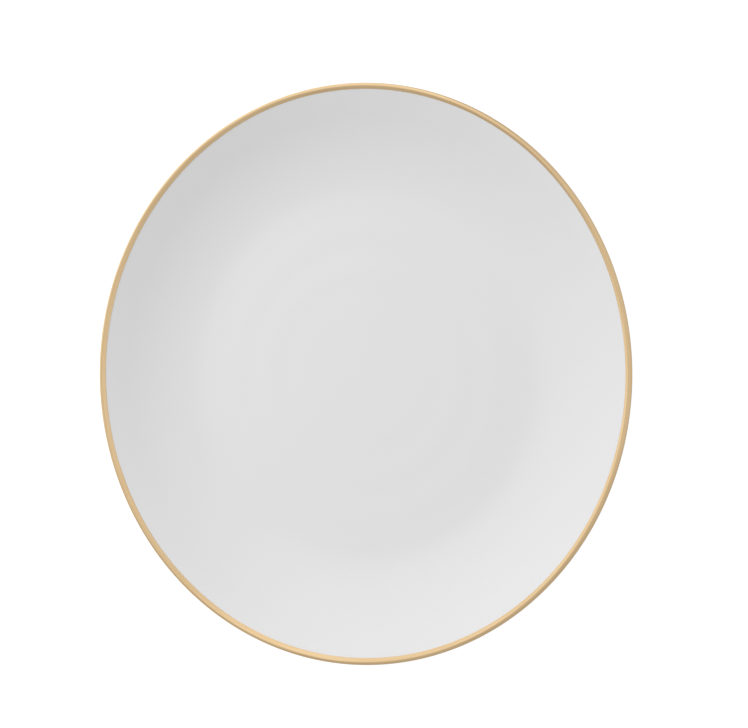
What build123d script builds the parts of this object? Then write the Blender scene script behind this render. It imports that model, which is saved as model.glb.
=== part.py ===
"""Coupe dinner plate in glazed porcelain with a gilt lip.

Millimetres, +Z up. The origin is on the plate's axis, on the surface that it stands on.
Every piece is a turned shape, so each one is a section, drawn as (radius, height), that
revolves round +Z:

- porcelain_body: the fired body with its foot ring, in one piece
- face_glaze: the glass coat on the eating side, from the centre to the crest of the lip
- back_glaze: the glass coat on the underside, from the crest of the lip to the foot ring
- recess_glaze: the glass coat inside the foot ring
- gold_band: the gilt line that wraps over the lip, on top of both outer coats
"""

from build123d import *

import os
from math import atan2, cos, degrees, radians, sin, tan

# ---- finished plate ----
plate_diameter = 270.0  # over the gilding on the lip
plate_height = 24.0  # from the standing edge to the top of the gilded lip
well_diameter = 164.0  # the flat floor of the eating side

# ---- bare body ----
floor_thickness = 3.6
wall_thickness = 3.4  # just outside the well, square to the surface
lip_thickness = 1.9  # the lip ends in a half round of this thickness
knee_radius = 60.0  # where the floor turns up into the wall
knee_turn = 9.0  # degrees
flare_length = 13.0  # the straight stretch of wall next to the lip

# ---- foot ring ----
foot_height = 3.4  # depth of the recess inside the ring
foot_width = 3.6  # across the standing edge, before its corners are rounded
foot_draft = 20.0  # degrees, the lean of both sides of the ring
stacking_margin = 3.0  # the foot stands this far inside the well of the plate below
bare_height = 1.3  # the foot is wiped clean of glaze up to here
toe_radius = 1.0
root_radius = 2.0

# ---- coats ----
glaze_thickness = 0.3
gold_thickness = 0.12
gold_width_inside = 1.35  # down the eating side, from the start of the lip's round
gold_width_outside = 1.2  # down the underside, from the end of the lip's round

# ---- worked out from the values above ----
SOLVER_STEPS = 60
FILLET_SHARE = 0.9  # a rounded corner uses at most this share of the side beside it

well_radius = well_diameter / 2
floor_z = foot_height + floor_thickness
lip_radius = lip_thickness / 2
coats = glaze_thickness + gold_thickness
lip_centre = (plate_diameter / 2 - coats - lip_radius, plate_height - coats - lip_radius)


def along(point, angle, distance):
    """The point that lies a distance away from another, in the direction of an angle in degrees."""
    return (
        point[0] + distance * cos(radians(angle)),
        point[1] + distance * sin(radians(angle)),
    )


def flare_angle(wall_foot, side):
    """The slope of the straight flare that one arc joins to the knee with no corner.

    wall_foot is where the arc starts, at the knee's slope. side is 90 for the eating side
    and -90 for the underside: it turns the flare's direction into that surface's normal.
    """
    slope = knee_turn
    for _ in range(SOLVER_STEPS):
        flare_end = along(lip_centre, slope + side, lip_radius)
        flare_start = along(flare_end, slope, -flare_length)
        rise = flare_start[1] - wall_foot[1]
        run = flare_start[0] - wall_foot[0]
        target = 2 * degrees(atan2(rise, run)) - knee_turn
        slope = (slope + target) / 2
    return slope


# The wall starts at the end of the knee, on both of its sides
knee_end = (
    well_radius + knee_radius * sin(radians(knee_turn)),
    floor_z + knee_radius * (1 - cos(radians(knee_turn))),
)
back_start = along(knee_end, knee_turn - 90, wall_thickness)
face_slope = flare_angle(knee_end, 90)
back_slope = flare_angle(back_start, -90)
crest_slope = (face_slope + back_slope) / 2

# The foot ring's sides lean away from its standing edge
foot_outer = well_radius - stacking_margin
foot_inner = foot_outer - foot_width
lean = tan(radians(foot_draft))
underside_lean = tan(radians(knee_turn))
level_rise = back_start[1] - (back_start[0] - foot_outer) * underside_lean
outer_root_z = level_rise / (1 - lean * underside_lean)
outer_root = (foot_outer + outer_root_z * lean, outer_root_z)
inner_root = (foot_inner - foot_height * lean, foot_height)
outer_stop = (foot_outer + bare_height * lean, bare_height)
inner_stop = (foot_inner - bare_height * lean, bare_height)

# Corners of the foot ring, limited by the sides that they round
corner_reach = tan(radians((90 - foot_draft) / 2))
side_below = bare_height / cos(radians(foot_draft))
side_above = (outer_root_z - bare_height) / cos(radians(foot_draft))
toe = min(toe_radius, FILLET_SHARE * min(side_below, foot_width / 2) / corner_reach)
root = min(root_radius, FILLET_SHARE * side_above / corner_reach)


# ---- outlines, as (radius, height) ----
with BuildLine() as recess_line:  # from the axis out to the inner side of the foot ring
    FilletPolyline((0, foot_height), inner_root, inner_stop, radius=root)

with BuildLine() as standing_line:  # the bare foot, from one glaze stop to the other
    FilletPolyline(inner_stop, (foot_inner, 0), (foot_outer, 0), outer_stop, radius=toe)

with BuildLine() as back_line:  # the underside, from the foot ring out to the crest of the lip
    FilletPolyline(outer_stop, outer_root, back_start, radius=root)
    back_flare_end = along(lip_centre, back_slope - 90, lip_radius)
    back_flare_start = along(back_flare_end, back_slope, -flare_length)
    TangentArc(back_start, back_flare_start, tangent=along((0, 0), knee_turn, 1))
    back_flare = Line(back_flare_start, back_flare_end)
    JernArc(back_flare @ 1, back_flare % 1, lip_radius, 90 + crest_slope - back_slope)

with BuildLine() as face_line:  # the eating side, from the axis out to the crest of the lip
    well_floor = Line((0, floor_z), (well_radius, floor_z))
    knee = JernArc(well_floor @ 1, well_floor % 1, knee_radius, knee_turn)
    face_flare_end = along(lip_centre, face_slope + 90, lip_radius)
    face_flare_start = along(face_flare_end, face_slope, -flare_length)
    TangentArc(knee @ 1, face_flare_start, tangent=knee % 1)
    face_flare = Line(face_flare_start, face_flare_end)
    JernArc(face_flare @ 1, face_flare % 1, lip_radius, crest_slope - face_slope - 90)

with BuildLine() as gold_line:  # on top of the glaze, from the eating side over the lip
    gold_radius = lip_radius + glaze_thickness
    inside_end = along(lip_centre, face_slope + 90, gold_radius)
    outside_start = along(lip_centre, back_slope - 90, gold_radius)
    gold_inside = Line(along(inside_end, face_slope, -gold_width_inside), inside_end)
    JernArc(gold_inside @ 1, gold_inside % 1, gold_radius, back_slope - face_slope - 180)
    Line(outside_start, along(outside_start, back_slope, -gold_width_outside))


def coat(line, thickness, side):
    """The section of a coat that lies on one side of a line and follows it to its ends."""
    with BuildSketch(Plane.XZ) as section:
        with BuildLine():
            add(line.line)
            offset(amount=thickness, side=side)
        make_face()
    return section


# ---- porcelain body ----
with BuildPart() as porcelain_body:
    with BuildSketch(Plane.XZ):
        with BuildLine():
            add(recess_line.line)
            add(standing_line.line)
            add(back_line.line)
            add(face_line.line)
            Line((0, foot_height), (0, floor_z))
        make_face()
    revolve(axis=Axis.Z)

# ---- glaze coats ----
with BuildPart() as face_glaze:
    add(coat(face_line, glaze_thickness, Side.LEFT).sketch)
    revolve(axis=Axis.Z)

with BuildPart() as back_glaze:
    add(coat(back_line, glaze_thickness, Side.RIGHT).sketch)
    revolve(axis=Axis.Z)

with BuildPart() as recess_glaze:
    add(coat(recess_line, glaze_thickness, Side.RIGHT).sketch)
    revolve(axis=Axis.Z)

# ---- gilding ----
with BuildPart() as gold_band:
    add(coat(gold_line, gold_thickness, Side.LEFT).sketch)
    revolve(axis=Axis.Z)

pieces = {
    "porcelain_body": porcelain_body,
    "face_glaze": face_glaze,
    "back_glaze": back_glaze,
    "recess_glaze": recess_glaze,
    "gold_band": gold_band,
}

# ---- one STEP file for each piece ----
os.makedirs("parts", exist_ok=True)
for name, piece in pieces.items():
    piece.part.label = name
    export_step(piece.part, f"parts/{name}.step")
    print(name, "volume", round(piece.part.volume, 1), "size", piece.part.bounding_box().size)

print("slope of the flare: face", round(face_slope, 2), "back", round(back_slope, 2))
print("corners of the foot ring: toe", round(toe, 2), "root", round(root, 2))
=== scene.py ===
"""Finish of a coupe dinner plate: turned porcelain, three coats of glaze and a gilt line.

Metres, +Z up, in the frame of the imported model: the origin is on the plate's axis, on the
surface that it stands on. Every piece is turned. A Pen draws its section as (radius, height)
with straight runs and bends, and the section is spun round +Z.
"""

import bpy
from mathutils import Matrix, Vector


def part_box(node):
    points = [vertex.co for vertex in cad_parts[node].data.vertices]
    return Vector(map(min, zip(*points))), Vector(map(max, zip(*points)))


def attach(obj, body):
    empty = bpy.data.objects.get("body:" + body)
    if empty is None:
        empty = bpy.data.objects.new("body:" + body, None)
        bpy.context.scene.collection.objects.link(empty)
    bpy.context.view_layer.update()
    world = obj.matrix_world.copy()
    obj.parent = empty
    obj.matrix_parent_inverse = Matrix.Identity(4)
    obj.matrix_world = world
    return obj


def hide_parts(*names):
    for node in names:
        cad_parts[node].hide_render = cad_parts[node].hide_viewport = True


bl_info = {
    "name": "Gilt-Edged Dinner Plate",
    "version": (1, 0, 0),
    "blender": (4, 5, 0),
    "location": "View3D > Sidebar > Plate",
    "description": "Turns, glazes and gilds a coupe dinner plate on its packed frame",
    "category": "Object",
}

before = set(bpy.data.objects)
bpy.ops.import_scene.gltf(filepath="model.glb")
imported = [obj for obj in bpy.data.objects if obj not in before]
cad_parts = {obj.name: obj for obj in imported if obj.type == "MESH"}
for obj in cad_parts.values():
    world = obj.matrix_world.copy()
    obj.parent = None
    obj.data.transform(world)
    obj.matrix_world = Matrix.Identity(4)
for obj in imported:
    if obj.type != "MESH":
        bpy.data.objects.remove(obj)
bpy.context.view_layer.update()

from math import atan2, cos, dist, exp, hypot, pi, radians, sin, tan, tau

import bmesh
import bpy
from bpy.props import FloatProperty, FloatVectorProperty, IntProperty, PointerProperty
from mathutils import Vector

GILDING_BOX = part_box("gold_band")
FACE_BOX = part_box("face_glaze")
RECESS_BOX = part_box("recess_glaze")
WEDGES = 24  # a section is turned through one wedge of the circle, which is then repeated


# ---- Sizes and colours that a user would change ----


def length_of(name, description, default):
    """A length in metres."""
    return FloatProperty(
        name=name, description=description, default=default, min=0, unit="LENGTH", precision=5
    )


def angle_of(name, description, default):
    """An angle, given in degrees and kept in radians."""
    return FloatProperty(
        name=name,
        description=description,
        default=radians(default),
        unit="ROTATION",
        subtype="ANGLE",
    )


def colour_of(name, description, default):
    """A linear colour."""
    return FloatVectorProperty(
        name=name,
        description=description,
        default=default,
        size=3,
        min=0,
        max=1,
        subtype="COLOR",
    )


def share_of(name, description, default):
    """A number from 0 to 1."""
    return FloatProperty(name=name, description=description, default=default, min=0, max=1)


def level_of(name, description, default):
    """A brightness, where 1 is white."""
    return FloatProperty(name=name, description=description, default=default, min=0)


def steps_of(description, default):
    """A number of steps round the plate, which a turned section takes in whole wedges."""
    return IntProperty(name="Segments", description=description, default=default, min=WEDGES)


class PlateSizes(bpy.types.PropertyGroup):
    """Sizes of the porcelain body."""

    radius: length_of("Radius", "Over the gilding on the lip", GILDING_BOX[1].x)
    height: length_of("Height", "From the standing edge to the gilt crest", GILDING_BOX[1].z)
    well_radius: length_of("Well Radius", "The flat floor of the eating side", 0.082)
    floor_top: length_of("Floor Height", "Top of the bare floor", FACE_BOX[0].z)
    wall_thickness: length_of("Wall", "Thickness of the wall just outside the well", 0.0034)
    lip_thickness: length_of("Lip", "Thickness of the bare lip, which ends in a half round", 0.0019)
    knee_radius: length_of("Knee Radius", "Where the floor turns up into the wall", 0.06)
    knee_turn: angle_of("Knee Turn", "How far the knee turns up", 9)
    flare_length: length_of("Flare", "The straight stretch of wall next to the lip", 0.013)
    foot_height: length_of("Foot Height", "Depth of the bare recess", RECESS_BOX[1].z)
    foot_width: length_of("Foot Width", "Across the standing edge, before it is rounded", 0.0036)
    foot_draft: angle_of("Foot Draft", "Lean of both sides of the foot ring", 20)
    stacking_margin: length_of("Stacking Margin", "The foot stands this far inside the well", 0.003)
    bare_height: length_of("Bare Height", "The foot is wiped clean of glaze up to here", 0.0013)
    toe_radius: length_of("Toe Radius", "Round of the standing edge", 0.001)
    root_radius: length_of("Root Radius", "Round where the foot ring meets the underside", 0.002)
    crown: length_of("Floor Crown", "Rise of the fired floor from its edge to its middle", 0.00022)
    warp: length_of("Warp", "How far the fired lip leaves a level plane", 0.00012)
    segments: steps_of("Steps round the body and its coats, in multiples of 24", 360)


class ClayLook(bpy.types.PropertyGroup):
    """Colours of the bare porcelain of the foot."""

    colour: colour_of("Colour", "Bare fired porcelain", (0.74, 0.71, 0.65))
    pale_colour: colour_of("Pale Colour", "Paler blotches in it", (0.8, 0.775, 0.73))
    toast_colour: colour_of("Toast Colour", "Where the glaze stops", (0.72, 0.56, 0.38))
    scuff_colour: colour_of("Scuff Colour", "Where it rubs on the table", (0.33, 0.32, 0.31))


class CoatSizes(bpy.types.PropertyGroup):
    """Sizes and colours of the glaze coats."""

    thickness: length_of("Thickness", "Of the glaze", 0.0003)
    bead: length_of("Bead", "Round of the glaze where it stops above the bare foot", 0.00014)
    colour: colour_of("Colour", "White of the glazed porcelain", (0.785, 0.785, 0.785))
    pool_colour: colour_of("Pool Colour", "Where the glaze runs thick", (0.7, 0.745, 0.745))
    speck_colour: colour_of("Speck Colour", "Specks of iron under the glaze", (0.5, 0.455, 0.4))
    roughness: share_of("Roughness", "Of the glaze", 0.09)
    ripple: length_of("Ripple", "Depth of the faint waves in the glaze", 0.000014)


class GoldSizes(bpy.types.PropertyGroup):
    """Sizes and colours of the gilt line."""

    thickness: length_of("Thickness", "Of the gold", 0.00012)
    inside: length_of("Inside Width", "Down the eating side, from the lip's round", 0.00135)
    outside: length_of("Outside Width", "Down the underside, from the lip's round", 0.0012)
    offset: length_of("Offset", "How far the line's inner edge is off centre", 0.0005)
    offset_turn: angle_of("Offset Direction", "Where the line is narrowest", 24)
    lap_turn: angle_of("Lap Direction", "Where the brush lapped over its start", -158)
    wobble: length_of("Wobble", "How much the brush wandered", 0.00006)
    colour: colour_of("Colour", "Burnished gold", (0.88, 0.65, 0.375))
    thin_colour: colour_of("Thin Colour", "Where the brush left less gold", (0.83, 0.58, 0.315))
    pore_colour: colour_of("Pore Colour", "In the pores of the gold", (0.55, 0.36, 0.2))
    roughness: share_of("Roughness", "Of the burnished gold", 0.16)
    segments: steps_of("Steps round the gilt line, in multiples of 24", 720)


class StageSizes(bpy.types.PropertyGroup):
    """Floor, light and camera."""

    floor_radius: length_of("Floor Radius", "Of the round floor", 12)
    floor_colour: colour_of("Floor Colour", "Of the floor", (0.35, 0.35, 0.35))
    floor_glow: level_of("Floor Glow", "What the floor adds to the light that falls on it", 0.82)
    lamp_turn: angle_of("Lamp Direction", "Where the lamp stands, round the plate", 150)
    lamp_rise: angle_of("Lamp Rise", "Of the lamp above the plate's table", 45)
    lamp_size: length_of("Lamp Size", "Across the round lamp", 1.3)
    lamp_distance: length_of("Lamp Distance", "From the plate to the lamp", 1.6)
    lamp_power: FloatProperty(
        name="Lamp Power", description="Power of the lamp", default=8.8, min=0, unit="POWER"
    )
    sky: level_of("Sky", "The whole sky", 0.55)
    window: level_of("Window", "Added by the bright side of the sky", 0.42)
    window_turn: angle_of("Window Direction", "Its middle, round the plate", 140)
    window_rise: angle_of("Window Rise", "Its middle, above the plate's table", 20)
    fill: level_of("Fill", "Added by a fainter patch of sky", 0.17)
    fill_turn: angle_of("Fill Direction", "Its middle, round the plate", 35)
    fill_rise: angle_of("Fill Rise", "Its middle, above the plate's table", 25)
    ceiling: level_of("Ceiling", "Added overhead", 0.1)
    table: level_of("Table", "Added at the level of the table, on one side", 0.35)
    table_turn: angle_of("Table Direction", "Its middle, round the plate", 165)
    tilt: angle_of("Tilt", "How far the camera leans from the plate's axis, towards +X", 23.4)
    distance: length_of("Distance", "From the camera to the point that it looks at", 0.7505)
    aim_x: length_of("Aim X", "The point that the camera looks at", 0.01407)
    aim_y: length_of("Aim Y", "The point that the camera looks at", 0.00455)
    lens: FloatProperty(
        name="Lens", description="Focal length", default=78.44, min=1, unit="CAMERA"
    )


# ---- Turning ----


def along(point, angle, distance):
    """The point at a distance from another, in the direction of an angle."""
    return point[0] + distance * cos(angle), point[1] + distance * sin(angle)


class Pen:
    """Draws a section in the plane y = 0, as (radius, height), on a bmesh."""

    def __init__(self, mesh, start, heading=0.0):
        self.mesh = mesh
        self.heading = heading
        self.tip = mesh.verts.new((start[0], 0, start[1]))
        self.first = self.tip

    def ahead(self, length, steps=1):
        """A straight run on the same heading."""
        pace = Vector((cos(self.heading), 0, sin(self.heading))) * (length / steps)
        for _ in range(steps):
            made = bmesh.ops.extrude_vert_indiv(self.mesh, verts=[self.tip])
            self.tip = made["verts"][0]
            bmesh.ops.translate(self.mesh, verts=[self.tip], vec=pace)

    def head_for(self, point):
        """Turns towards a point and gives the distance to it."""
        rise = point[1] - self.tip.co.z
        run = point[0] - self.tip.co.x
        self.heading = atan2(rise, run)
        return hypot(rise, run)

    def reach(self, point):
        """A straight run to a point."""
        self.ahead(self.head_for(point))

    def bend(self, radius, turn, steps):
        """An arc that leaves on the same heading. A positive turn goes to the left."""
        side = pi / 2 if turn > 0 else -pi / 2
        centre = along((self.tip.co.x, self.tip.co.z), self.heading + side, radius)
        made = bmesh.ops.spin(
            self.mesh,
            geom=[self.tip],
            cent=(centre[0], 0, centre[1]),
            axis=(0, -1, 0),
            angle=turn,
            steps=steps,
        )
        self.tip = made["geom_last"][0]
        self.heading += turn

    def corner(self, point, radius, turn, steps):
        """A straight run towards a corner, and an arc that rounds it."""
        self.ahead(self.head_for(point) - radius * tan(abs(turn) / 2))
        self.bend(radius, turn, steps)

    def square(self, turn, length, steps=1):
        """A sharp corner and a straight run."""
        self.heading += turn
        self.ahead(length, steps)

    def close(self):
        """Joins the tip to the section's first point with a straight edge."""
        self.mesh.edges.new((self.tip, self.first))


MERGE_DISTANCE = 3e-6  # closes the ring where its last wedge meets the first
SHARP_ANGLE = radians(40)  # edges that turn further than this stay crisp


def spin_section(mesh, segments):
    """Turns the section round +Z: one wedge first, then copies of it that close the ring."""
    centre, axis = (0, 0, 0), (0, 0, 1)
    wedge = tau / WEDGES
    section = mesh.verts[:] + mesh.edges[:]
    bmesh.ops.spin(
        mesh, geom=section, cent=centre, axis=axis, angle=wedge, steps=segments // WEDGES
    )
    whole = mesh.verts[:] + mesh.edges[:] + mesh.faces[:]
    bmesh.ops.spin(
        mesh,
        geom=whole,
        cent=centre,
        axis=axis,
        angle=tau - wedge,
        steps=WEDGES - 1,
        use_duplicate=True,
    )
    bmesh.ops.remove_doubles(mesh, verts=mesh.verts[:], dist=MERGE_DISTANCE)
    bmesh.ops.recalc_face_normals(mesh, faces=mesh.faces[:])


def turned_piece(mesh, name, material, node):
    """Makes a finished bmesh an object that stands for its CAD node."""
    for face in mesh.faces:
        face.smooth = True
    for edge in mesh.edges:
        edge.smooth = edge.calc_face_angle(0) < SHARP_ANGLE
    data = bpy.data.meshes.new(name)
    mesh.to_mesh(data)
    mesh.free()
    data.materials.append(material)
    piece = bpy.data.objects.new(name, data)
    bpy.context.scene.collection.objects.link(piece)
    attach(piece, "root")
    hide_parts(node)


class PlateForm:
    """The plate's section, worked out from its sizes: what the body and its coats share."""

    SOLVER_STEPS = 60
    FILLET_SHARE = 0.9  # a rounded corner uses at most this share of the side beside it

    def __init__(self, sizes, coats):
        self.sizes = sizes
        self.lip_radius = sizes.lip_thickness / 2
        self.lip_centre = (
            sizes.radius - coats - self.lip_radius,
            sizes.height - coats - self.lip_radius,
        )
        turn = sizes.knee_turn
        knee_end = (
            sizes.well_radius + sizes.knee_radius * sin(turn),
            sizes.floor_top + sizes.knee_radius * (1 - cos(turn)),
        )
        self.back_start = along(knee_end, turn - pi / 2, sizes.wall_thickness)
        self.face_slope, self.face_radius = self.wall(knee_end, pi / 2)
        self.back_slope, self.back_radius = self.wall(self.back_start, -pi / 2)
        self.crest_slope = (self.face_slope + self.back_slope) / 2
        self.foot_outer = sizes.well_radius - sizes.stacking_margin
        self.foot_inner = self.foot_outer - sizes.foot_width
        self.lean = tan(sizes.foot_draft)
        level_rise = self.back_start[1] - (self.back_start[0] - self.foot_outer) * tan(turn)
        outer_root_z = level_rise / (1 - self.lean * tan(turn))
        self.outer_root = (self.foot_outer + outer_root_z * self.lean, outer_root_z)
        self.inner_root = (self.foot_inner - sizes.foot_height * self.lean, sizes.foot_height)
        self.outer_stop = (self.foot_outer + sizes.bare_height * self.lean, sizes.bare_height)
        self.inner_stop = (self.foot_inner - sizes.bare_height * self.lean, sizes.bare_height)
        corner_reach = tan((pi / 2 - sizes.foot_draft) / 2)
        side_above = (outer_root_z - sizes.bare_height) / cos(sizes.foot_draft)
        self.root = min(sizes.root_radius, self.FILLET_SHARE * side_above / corner_reach)

    def wall(self, wall_foot, side):
        """The slope of the straight flare, and the radius of the arc that joins it to the knee."""
        slope = self.sizes.knee_turn
        for _ in range(self.SOLVER_STEPS):
            flare_end = along(self.lip_centre, slope + side, self.lip_radius)
            flare_start = along(flare_end, slope, -self.sizes.flare_length)
            rise = flare_start[1] - wall_foot[1]
            run = flare_start[0] - wall_foot[0]
            slope = (slope + 2 * atan2(rise, run) - self.sizes.knee_turn) / 2
        half_turn = (slope - self.sizes.knee_turn) / 2
        return slope, hypot(rise, run) / (2 * sin(half_turn))

    def flare_end(self, lift):
        """Where the flare of the eating side meets the lip's round, lifted off the bare body."""
        return along(self.lip_centre, self.face_slope + pi / 2, self.lip_radius + lift)


# Steps of each stretch of a section
FLOOR_STEPS = 48
RECESS_STEPS = 30
KNEE_STEPS = 12
WALL_STEPS = 28
FLARE_STEPS = 8
LIP_STEPS = 14
ROOT_STEPS = 8
TOE_STEPS = 8
BEAD_STEPS = 4


def draw_face(pen, form, lift):
    """The eating side from the axis to the crest of the lip, lifted off the bare body."""
    sizes = form.sizes
    pen.ahead(sizes.well_radius, FLOOR_STEPS)
    pen.bend(sizes.knee_radius - lift, sizes.knee_turn, KNEE_STEPS)
    pen.bend(form.face_radius - lift, form.face_slope - sizes.knee_turn, WALL_STEPS)
    pen.ahead(sizes.flare_length, FLARE_STEPS)
    pen.bend(form.lip_radius + lift, form.crest_slope - form.face_slope - pi / 2, LIP_STEPS)


def draw_face_back(pen, form):
    """The bare eating side, from the crest of the lip back to the axis."""
    sizes = form.sizes
    pen.bend(form.lip_radius, form.face_slope - form.crest_slope + pi / 2, LIP_STEPS)
    pen.ahead(sizes.flare_length, FLARE_STEPS)
    pen.bend(form.face_radius, sizes.knee_turn - form.face_slope, WALL_STEPS)
    pen.bend(sizes.knee_radius, -sizes.knee_turn, KNEE_STEPS)
    pen.ahead(sizes.well_radius, FLOOR_STEPS)


def settle(mesh, sizes):
    """The small movements of the clay in the kiln: the floor rises a little and the lip warps."""
    wall_run = sizes.radius - sizes.well_radius
    mid_floor = (sizes.floor_top + sizes.foot_height) / 2
    for vert in mesh.verts:
        radius = hypot(vert.co.x, vert.co.y)
        angle = atan2(vert.co.y, vert.co.x)
        up_wall = max(0.0, (radius - sizes.well_radius) / wall_run)
        vert.co.z += sizes.warp * lip_wave(angle) * up_wall**2
        if vert.co.z > mid_floor:
            vert.co.z += sizes.crown * floor_wave(min(1.0, radius / sizes.well_radius))


def lip_wave(angle):
    """How the lip stands above or below its level: two long waves and three short ones."""
    return 0.7 * sin(2 * angle + 0.6) + 0.3 * sin(3 * angle)


# The turning marks of the floor: lengths are shares of its radius, heights of its crown
RING_SPACING = 0.24
RING_PLACE = 0.59
RING_HEIGHT = 0.28
NUB_RADIUS = 1 / 26
NUB_HEIGHT = 0.25


def floor_wave(share):
    """How the floor stands above or below its level, at a share of the well's radius."""
    dome = 0.5 * cos(pi * share)
    rings = RING_HEIGHT * cos(tau * (share - RING_PLACE) / RING_SPACING)
    rings *= min(1.0, 2.5 * share**2)  # they fade towards the middle
    nub = NUB_HEIGHT * exp(-((share / NUB_RADIUS) ** 2))
    edge = 1 - share**12  # the knee keeps its own shape
    return (dome + rings + nub) * edge


# ---- Shader maths ----


class Signal:
    """A socket that takes part in maths: each operator adds a Math node."""

    def __init__(self, mixer, socket):
        self.mixer = mixer
        self.socket = socket

    def __add__(self, other):
        return self.mixer.maths("ADD", self, other)

    def __sub__(self, other):
        return self.mixer.maths("SUBTRACT", self, other)

    def __rsub__(self, other):
        return self.mixer.maths("SUBTRACT", other, self)

    def __mul__(self, other):
        return self.mixer.maths("MULTIPLY", self, other)

    def __truediv__(self, other):
        return self.mixer.maths("DIVIDE", self, other)

    def __gt__(self, other):
        return self.mixer.maths("GREATER_THAN", self, other)


class Mixer:
    """The nodes of a material or of the sky."""

    def __init__(self, tree, shader):
        self.tree = tree
        self.shader = tree.nodes[shader]

    def node(self, kind, settings=None, inputs=None, output=0):
        """Adds a node: its settings first, then the values or links of its sockets."""
        made = self.tree.nodes.new(kind)
        for name, value in (settings or {}).items():
            setattr(made, name, value)
        for key, value in (inputs or {}).items():
            if isinstance(value, Signal):
                self.tree.links.new(value.socket, made.inputs[key])
            else:
                made.inputs[key].default_value = value
        return Signal(self, made.outputs[output])

    def maths(self, operation, *values):
        """A Math node on signals and numbers."""
        return self.node("ShaderNodeMath", {"operation": operation}, dict(enumerate(values)))

    def split(self, vector):
        """The x, y and z of a vector."""
        made = self.node("ShaderNodeSeparateXYZ", inputs={0: vector}).socket.node
        return [Signal(self, socket) for socket in made.outputs]

    def join(self, x, y, z):
        """A vector from three values."""
        return self.node("ShaderNodeCombineXYZ", inputs={0: x, 1: y, 2: z})

    def facing(self, vector, direction):
        """How much a vector points in a direction, from -1 to 1."""
        settings = {"operation": "DOT_PRODUCT"}
        return self.node("ShaderNodeVectorMath", settings, {0: vector, 1: direction}, "Value")

    def smooth(self, value, low, high, to_low=0.0, to_high=1.0):
        """A soft step from to_low, at low, to to_high, at high."""
        inputs = {0: value, 1: low, 2: high, 3: to_low, 4: to_high}
        return self.node("ShaderNodeMapRange", {"interpolation_type": "SMOOTHSTEP"}, inputs)

    def feed(self, **inputs):
        """Links signals to the shader's own sockets."""
        for socket, signal in inputs.items():
            self.tree.links.new(signal.socket, self.shader.inputs[socket.replace("_", " ")])


class Paint(Mixer):
    """The nodes of a material."""

    def __init__(self, name, **constants):
        self.material = bpy.data.materials.new(name)
        self.material.use_nodes = True
        super().__init__(self.material.node_tree, "Principled BSDF")
        for socket, value in constants.items():
            self.shader.inputs[socket.replace("_", " ")].default_value = value

    def place(self):
        """Where a point is on the plate, in metres: as a vector, and as x, y and height."""
        where = self.node("ShaderNodeTexCoord", output="Object")
        return where, *self.split(where)

    def reach(self, x, y):
        """The distance from (0, 0), which for x and y on the plate is its axis."""
        return self.maths("SQRT", x * x + y * y)

    def noise(self, where, scale, detail, roughness=0.5, distortion=0.0):
        """Soft noise from 0 to 1, with its scale in waves for each metre."""
        inputs = {
            "Vector": where,
            "Scale": scale,
            "Detail": detail,
            "Roughness": roughness,
            "Distortion": distortion,
        }
        return self.node("ShaderNodeTexNoise", inputs=inputs)

    def rings(self, reach, scale):
        """Noise from 0 to 1 that changes only with the distance from the axis."""
        inputs = {"W": reach, "Scale": scale}
        return self.node("ShaderNodeTexNoise", {"noise_dimensions": "1D"}, inputs)

    def spots(self, x, y, spacing, radius, share):
        """Round spots, one or none in each cell of a loose grid seen from above."""
        settings = {"voronoi_dimensions": "2D"}
        inputs = {"Vector": self.join(x, y, 0), "Scale": 1 / spacing}
        cells = self.node("ShaderNodeTexVoronoi", settings, inputs).socket.node
        chance = self.split(Signal(self, cells.outputs["Color"]))[0]
        edge = radius / spacing
        spot = self.smooth(Signal(self, cells.outputs["Distance"]), edge * 0.4, edge, 1, 0)
        return spot * (chance > 1 - share)

    def blend(self, share, first, second):
        """A mix of two colours, each a signal or a linear colour."""
        inputs = {0: share}
        for key, colour in ((6, first), (7, second)):
            inputs[key] = colour if isinstance(colour, Signal) else (*colour, 1)
        return self.node("ShaderNodeMix", {"data_type": "RGBA"}, inputs, output=2)

    def bump(self, height, depth, under=None):
        """A normal from a height of 0 to 1 that stands for a depth in metres."""
        inputs = {"Strength": 1.0, "Distance": depth, "Height": height}
        if under:
            inputs["Normal"] = under
        return self.node("ShaderNodeBump", inputs=inputs)

    def finish(self, **inputs):
        """Links the signals and gives the material."""
        self.feed(**inputs)
        return self.material


# ---- Finishes ----


def glaze_finish(name, look, pool=None):
    """White porcelain under clear glaze, which may run thick in a corner at (radius, height)."""
    paint = Paint(name, IOR=1.52)
    place, x, y, height = paint.place()
    reach = paint.reach(x, y)

    clouds = paint.noise(place, scale=22, detail=3)
    white = paint.blend(clouds, look.colour, [level * 0.985 for level in look.colour])
    if pool:
        from_pool = paint.reach(reach - pool[0], height - pool[1])
        pooled = paint.smooth(from_pool + clouds * 0.0012, 0.001, 0.0045, 0.6, 0)
        white = paint.blend(pooled, white, look.pool_colour)
    specks = paint.spots(x, y, spacing=0.019, radius=0.00018, share=0.16)
    white = paint.blend(specks * 0.6, white, look.speck_colour)

    wear = paint.noise(place, scale=160, detail=3)
    gloss = paint.smooth(wear, 0.3, 0.7, look.roughness * 0.8, look.roughness * 1.3)

    waves = paint.noise(place, scale=90, detail=1.5, roughness=0.4)
    tool_marks = paint.rings(reach, scale=260)
    skin = paint.bump(waves * 0.7 + tool_marks * 0.3, look.ripple)
    orange_peel = paint.noise(place, scale=900, detail=1)
    skin = paint.bump(orange_peel, look.ripple * 0.08, skin)
    # x and y are swapped so that the pinholes lie apart from the specks
    pinholes = paint.spots(y, x, spacing=0.027, radius=0.00016, share=0.35)
    skin = paint.bump(1 - pinholes, 0.00006, skin)
    return paint.finish(Base_Color=white, Roughness=gloss, Normal=skin)


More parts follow.
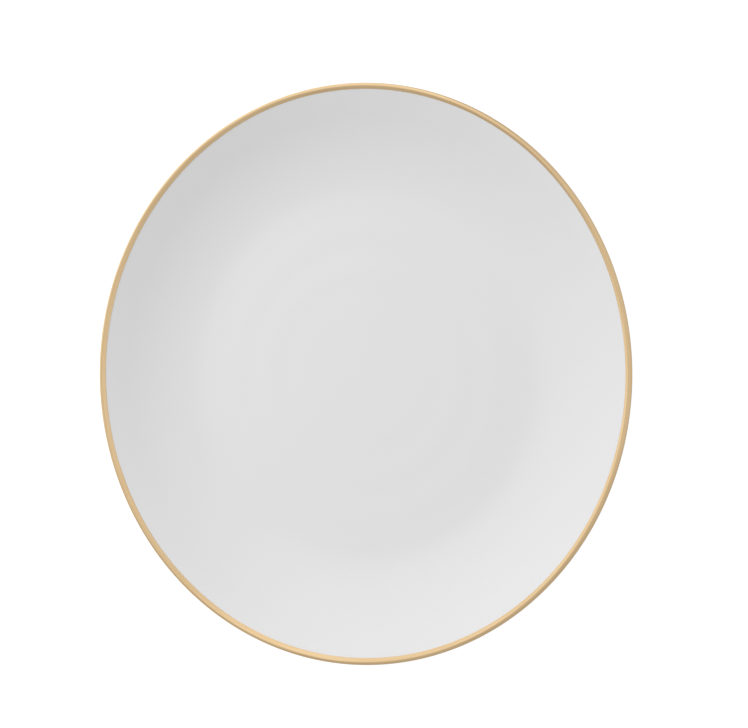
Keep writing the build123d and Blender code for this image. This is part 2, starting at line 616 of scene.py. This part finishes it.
def biscuit_finish(name, look, bare_height):
    """Bare fired porcelain: dry, toasted where the glaze stops and scuffed where it stands."""
    paint = Paint(name, IOR=1.5)
    place, _, _, height = paint.place()

    blotches = paint.noise(place, scale=130, detail=3)
    clay = paint.blend(blotches, look.colour, look.pale_colour)
    edge = height + blotches * 0.0005
    toasted = paint.smooth(edge, bare_height * 0.75, bare_height * 1.25)
    clay = paint.blend(toasted * 0.7, clay, look.toast_colour)
    rubs = paint.noise(place, scale=700, detail=4, roughness=0.7, distortion=0.4)
    rubs = paint.smooth(rubs, 0.46, 0.75)
    standing = paint.smooth(height, 0.00005, 0.0004, 1, 0)
    clay = paint.blend(rubs * standing * 0.65, clay, look.scuff_colour)

    polish = paint.smooth(standing + blotches * 0.3, 0.2, 1.2, 0.82, 0.5)
    grain = paint.bump(paint.noise(place, scale=2600, detail=3, roughness=0.7), 0.00002)
    return paint.finish(Base_Color=clay, Roughness=polish, Normal=grain)


def gold_finish(name, look):
    """Burnished gold, laid with a brush as the plate turned."""
    paint = Paint(name, Metallic=1.0)
    place, x, y, height = paint.place()
    reach = paint.reach(x, y)
    across = reach - height * 0.5
    turn_x = x / reach
    turn_y = y / reach

    # Both marks run round the plate: they change fast across the line and slowly along it
    stroke_place = paint.join(turn_x * 4, turn_y * 4, across * 2000)
    strokes = paint.noise(stroke_place, scale=1, detail=3, roughness=0.6)
    hair_place = paint.join(turn_x * 9, turn_y * 9, across * 8000)
    hairs = paint.noise(hair_place, scale=1, detail=2)
    full = paint.smooth(strokes * 0.7 + hairs * 0.3, 0.34, 0.6)
    leaf = paint.blend(full, look.thin_colour, look.colour)
    pores = paint.spots(x, y, spacing=0.0016, radius=0.00009, share=0.18)
    leaf = paint.blend(pores * 0.7, leaf, look.pore_colour)

    rubbing = paint.noise(place, scale=420, detail=3) + hairs * 0.4
    gloss = paint.smooth(rubbing, 0.45, 0.95, look.roughness * 0.8, look.roughness * 1.4)

    ridges = paint.bump(strokes * 0.6 + hairs * 0.4, 0.0000025)
    return paint.finish(Base_Color=leaf, Roughness=gloss, Normal=ridges)


# ---- Pieces ----


class PLATE_OT_turn_body(bpy.types.Operator):
    """Turn the porcelain body with its foot ring"""

    bl_idname = "plate.turn_body"
    bl_label = "Turn Body"

    def execute(self, context):
        scene = context.scene
        sizes = scene.plate_sizes
        form = PlateForm(sizes, scene.plate_coats.thickness + scene.plate_gold.thickness)
        side_turn = pi / 2 - sizes.foot_draft
        mesh = bmesh.new()
        pen = Pen(mesh, (0, sizes.foot_height))
        pen.ahead(form.inner_root[0] - form.root * tan(side_turn / 2), RECESS_STEPS)
        pen.bend(form.root, -side_turn, ROOT_STEPS)
        pen.corner((form.foot_inner, 0), sizes.toe_radius, side_turn, TOE_STEPS)
        pen.corner((form.foot_outer, 0), sizes.toe_radius, side_turn, TOE_STEPS)
        pen.corner(form.outer_root, form.root, sizes.knee_turn - side_turn, ROOT_STEPS)
        pen.reach(form.back_start)
        pen.bend(form.back_radius, form.back_slope - sizes.knee_turn, WALL_STEPS)
        pen.ahead(sizes.flare_length, FLARE_STEPS)
        pen.bend(form.lip_radius, pi / 2 + form.crest_slope - form.back_slope, LIP_STEPS)
        draw_face_back(pen, form)
        spin_section(mesh, sizes.segments)
        settle(mesh, sizes)
        finish = biscuit_finish("bare_porcelain", scene.plate_clay, sizes.bare_height)
        turned_piece(mesh, "body_biscuit", finish, "porcelain_body")
        return {"FINISHED"}


class PLATE_OT_glaze(bpy.types.Operator):
    """Coat the eating side, the underside and the recess in the foot ring"""

    bl_idname = "plate.glaze"
    bl_label = "Glaze"

    def execute(self, context):
        scene = context.scene
        sizes = scene.plate_sizes
        look = scene.plate_coats
        form = PlateForm(sizes, look.thickness + scene.plate_gold.thickness)
        for draw, name, node, pool in (
            (self.draw_face_coat, "glaze_on_face", "face_glaze", None),
            (self.draw_back_coat, "glaze_on_back", "back_glaze", form.outer_root),
            (self.draw_recess_coat, "glaze_in_recess", "recess_glaze", form.inner_root),
        ):
            mesh = bmesh.new()
            draw(mesh, form, look)
            spin_section(mesh, sizes.segments)
            settle(mesh, sizes)
            finish = glaze_finish(name + "_white", look, pool)
            turned_piece(mesh, name, finish, node)
        return {"FINISHED"}

    @staticmethod
    def draw_face_coat(mesh, form, look):
        """From the axis out over the coat to the crest, and back along the body."""
        pen = Pen(mesh, (0, form.sizes.floor_top + look.thickness))
        draw_face(pen, form, look.thickness)
        pen.square(-pi / 2, look.thickness)
        pen.heading -= pi / 2
        draw_face_back(pen, form)

    @staticmethod
    def draw_back_coat(mesh, form, look):
        """From the bead above the bare foot out to the crest, and back along the body."""
        sizes = form.sizes
        side_turn = pi / 2 - sizes.foot_draft
        root_turn = side_turn - sizes.knee_turn
        coat = look.thickness
        pen = Pen(mesh, form.outer_stop, side_turn)
        pen.corner(form.outer_root, form.root, -root_turn, ROOT_STEPS)
        pen.reach(form.back_start)
        pen.bend(form.back_radius, form.back_slope - sizes.knee_turn, WALL_STEPS)
        pen.ahead(sizes.flare_length, FLARE_STEPS)
        pen.bend(form.lip_radius, pi / 2 + form.crest_slope - form.back_slope, LIP_STEPS)
        pen.square(-pi / 2, coat)
        pen.heading -= pi / 2
        pen.bend(form.lip_radius + coat, form.back_slope - form.crest_slope - pi / 2, LIP_STEPS)
        pen.ahead(sizes.flare_length, FLARE_STEPS)
        pen.bend(form.back_radius + coat, sizes.knee_turn - form.back_slope, WALL_STEPS)
        root_run = form.root * tan(root_turn / 2)
        pen.ahead(dist(form.back_start, form.outer_root) - root_run)
        pen.bend(form.root - coat, root_turn, ROOT_STEPS)
        pen.ahead(dist(form.outer_root, form.outer_stop) - root_run - look.bead)
        pen.bend(look.bead, -pi / 2, BEAD_STEPS)
        pen.close()

    @staticmethod
    def draw_recess_coat(mesh, form, look):
        """From the axis out along the body to the stop above the bare foot, and back."""
        sizes = form.sizes
        side_turn = pi / 2 - sizes.foot_draft
        coat = look.thickness
        root_run = form.root * tan(side_turn / 2)
        side = dist(form.inner_root, form.inner_stop)
        pen = Pen(mesh, (0, sizes.foot_height))
        pen.ahead(form.inner_root[0] - root_run, RECESS_STEPS)
        pen.bend(form.root, -side_turn, ROOT_STEPS)
        pen.ahead(side - root_run)
        pen.square(-pi / 2, coat - look.bead)
        pen.bend(look.bead, -pi / 2, BEAD_STEPS)
        pen.ahead(side - root_run - look.bead)
        pen.bend(form.root - coat, side_turn, ROOT_STEPS)
        pen.ahead(form.inner_root[0] - root_run, RECESS_STEPS)


class PLATE_OT_gild(bpy.types.Operator):
    """Lay the gilt line over the lip"""

    bl_idname = "plate.gild"
    bl_label = "Gild Lip"

    ROUND_SHARE = 2 / 3  # of the gold's thickness, at both edges of the line

    def execute(self, context):
        scene = context.scene
        sizes = scene.plate_sizes
        look = scene.plate_gold
        coat = scene.plate_coats.thickness
        form = PlateForm(sizes, coat + look.thickness)
        over = form.back_slope - form.face_slope - pi
        edge_round = look.thickness * self.ROUND_SHARE
        edge_side = look.thickness - edge_round
        mesh = bmesh.new()
        start = along(form.flare_end(coat), form.face_slope, -look.inside)
        pen = Pen(mesh, start, form.face_slope + pi / 2)
        pen.ahead(edge_side)
        pen.bend(edge_round, -pi / 2, BEAD_STEPS)
        pen.ahead(look.inside - edge_round, FLARE_STEPS)
        pen.bend(form.lip_radius + coat + look.thickness, over, LIP_STEPS * 2)
        pen.ahead(look.outside - edge_round, FLARE_STEPS)
        pen.bend(edge_round, -pi / 2, BEAD_STEPS)
        pen.ahead(edge_side)
        pen.square(-pi / 2, look.outside, FLARE_STEPS)
        pen.bend(form.lip_radius + coat, -over, LIP_STEPS * 2)
        pen.close()
        spin_section(mesh, look.segments)
        self.wander(mesh, form, look)
        settle(mesh, sizes)
        finish = gold_finish("burnished_gold", look)
        turned_piece(mesh, "gilt_line", finish, "gold_band")
        return {"FINISHED"}

    @staticmethod
    def wander(mesh, form, look):
        """Moves the line's inner edge along the flare, as a brush held by hand leaves it."""
        slope = form.face_slope
        start_x, start_z = form.flare_end(0)
        for vert in mesh.verts:
            radius = hypot(vert.co.x, vert.co.y)
            down = (start_x - radius) * cos(slope) + (start_z - vert.co.z) * sin(slope)
            if down > 0 and radius < form.lip_centre[0]:
                angle = atan2(vert.co.y, vert.co.x)
                drift = -look.offset * cos(angle - look.offset_turn)
                drift += look.wobble * brush_wave(angle, look.lap_turn)
                shift = drift * down / look.inside
                stretch = 1 - shift * cos(slope) / radius
                vert.co.x *= stretch
                vert.co.y *= stretch
                vert.co.z -= shift * sin(slope)


# The lap, where the line is wider: how far it reaches round the plate to either side of its
# middle, and how much it widens the line, as a multiple of the brush's wobble
LAP_REACH = radians(5)
LAP_WIDTH = 1.6


def brush_wave(angle, lap_turn):
    """How the brush strays to either side as the plate turns, and laps over its own start."""
    stray = 0.5 * sin(3 * angle + 1) + 0.35 * sin(7 * angle + 4) + 0.25 * sin(16 * angle)
    lap = LAP_WIDTH * exp(-(((angle - lap_turn) / LAP_REACH) ** 2))
    return stray + lap


def towards(turn, rise):
    """The direction at an angle round the plate and an angle above its table."""
    return Vector((cos(turn) * cos(rise), sin(turn) * cos(rise), sin(rise)))


class PLATE_OT_set_stage(bpy.types.Operator):
    """Set the floor, the light and the camera"""

    bl_idname = "plate.set_stage"
    bl_label = "Set Stage"

    def execute(self, context):
        scene = context.scene
        stage = scene.plate_stage
        scene.view_settings.view_transform = "Standard"
        self.lay_floor(scene, stage)
        self.set_lights(scene, stage)
        self.set_camera(scene, stage)
        return {"FINISHED"}

    @staticmethod
    def lay_floor(scene, stage):
        """A round pale floor that glows a little and adds no light to the plate."""
        mesh = bmesh.new()
        bmesh.ops.create_circle(mesh, cap_ends=True, radius=stage.floor_radius, segments=64)
        data = bpy.data.meshes.new("floor")
        mesh.to_mesh(data)
        mesh.free()
        paint = Paint(
            "pale_floor",
            Base_Color=(*stage.floor_colour, 1),
            Roughness=1,
            Specular_IOR_Level=0,
            Emission_Color=(1, 1, 1, 1),
            Emission_Strength=stage.floor_glow,
        )
        data.materials.append(paint.material)
        floor = bpy.data.objects.new("floor", data)
        floor.visible_glossy = False
        floor.visible_diffuse = False
        scene.collection.objects.link(floor)

    @staticmethod
    def set_lights(scene, stage):
        """A soft lamp, and a sky that is brightest on the lamp's side."""
        away = towards(stage.lamp_turn, stage.lamp_rise)
        lamp = bpy.data.lights.new("lamp", "AREA")
        lamp.shape = "DISK"
        lamp.size = stage.lamp_size
        lamp.energy = stage.lamp_power
        stand = bpy.data.objects.new("lamp", lamp)
        stand.location = away * stage.lamp_distance
        stand.rotation_euler = away.to_track_quat("Z", "Y").to_euler()
        stand.visible_glossy = False
        scene.collection.objects.link(stand)

        world = bpy.data.worlds.new("sky")
        world.use_nodes = True
        scene.world = world
        sky = Mixer(world.node_tree, "Background")
        sky.shader.inputs["Color"].default_value = (1, 1, 1, 1)
        where = sky.node("ShaderNodeTexCoord", output="Generated")
        height = sky.split(where)[2]
        window = sky.facing(where, towards(stage.window_turn, stage.window_rise))
        window = sky.smooth(window, 0.5, 0.85)
        ceiling = sky.smooth(height, 0.7, 0.95)
        fill = sky.facing(where, towards(stage.fill_turn, stage.fill_rise))
        fill = sky.smooth(fill, 0.15, 0.8)
        low = sky.smooth(height, -0.15, 0.1, 1, 0)
        table = low * sky.smooth(sky.facing(where, towards(stage.table_turn, 0)), 0.1, 0.8)
        light = window * stage.window + ceiling * stage.ceiling
        light = light + fill * stage.fill + table * stage.table
        sky.feed(Strength=light + stage.sky)

    @staticmethod
    def set_camera(scene, stage):
        """Looks down at the plate, leaning off its axis towards +X."""
        away = Vector((sin(stage.tilt), 0, cos(stage.tilt)))
        eye = bpy.data.cameras.new("camera")
        eye.lens = stage.lens
        camera = bpy.data.objects.new("camera", eye)
        aim = Vector((stage.aim_x, stage.aim_y, scene.plate_sizes.height))
        camera.location = aim + away * stage.distance
        camera.rotation_euler = (0, stage.tilt, 0)
        scene.collection.objects.link(camera)
        scene.camera = camera


class PLATE_PT_maker(bpy.types.Panel):
    """Makes the plate, piece by piece"""

    bl_idname = "PLATE_PT_maker"
    bl_label = "Dinner Plate"
    bl_space_type = "VIEW_3D"
    bl_region_type = "UI"
    bl_category = "Plate"

    def draw(self, context):
        for operator, groups in (
            ("plate.set_stage", ["plate_stage"]),
            ("plate.turn_body", ["plate_sizes", "plate_clay"]),
            ("plate.glaze", ["plate_coats"]),
            ("plate.gild", ["plate_gold"]),
        ):
            box = self.layout.box()
            for group in groups:
                values = getattr(context.scene, group)
                for name in values.bl_rna.properties.keys():
                    if name not in ("rna_type", "name"):
                        box.prop(values, name)
            box.operator(operator)


CLASSES = (
    PlateSizes,
    ClayLook,
    CoatSizes,
    GoldSizes,
    StageSizes,
    PLATE_OT_turn_body,
    PLATE_OT_glaze,
    PLATE_OT_gild,
    PLATE_OT_set_stage,
    PLATE_PT_maker,
)


def register():
    for cls in CLASSES:
        bpy.utils.register_class(cls)
    bpy.types.Scene.plate_sizes = PointerProperty(type=PlateSizes)
    bpy.types.Scene.plate_clay = PointerProperty(type=ClayLook)
    bpy.types.Scene.plate_coats = PointerProperty(type=CoatSizes)
    bpy.types.Scene.plate_gold = PointerProperty(type=GoldSizes)
    bpy.types.Scene.plate_stage = PointerProperty(type=StageSizes)


def unregister():
    del bpy.types.Scene.plate_sizes
    del bpy.types.Scene.plate_clay
    del bpy.types.Scene.plate_coats
    del bpy.types.Scene.plate_gold
    del bpy.types.Scene.plate_stage
    for cls in reversed(CLASSES):
        bpy.utils.unregister_class(cls)


def main():
    register()
    bpy.ops.plate.set_stage()
    bpy.ops.plate.turn_body()
    bpy.ops.plate.glaze()
    bpy.ops.plate.gild()


if __name__ == "__main__":
    main()
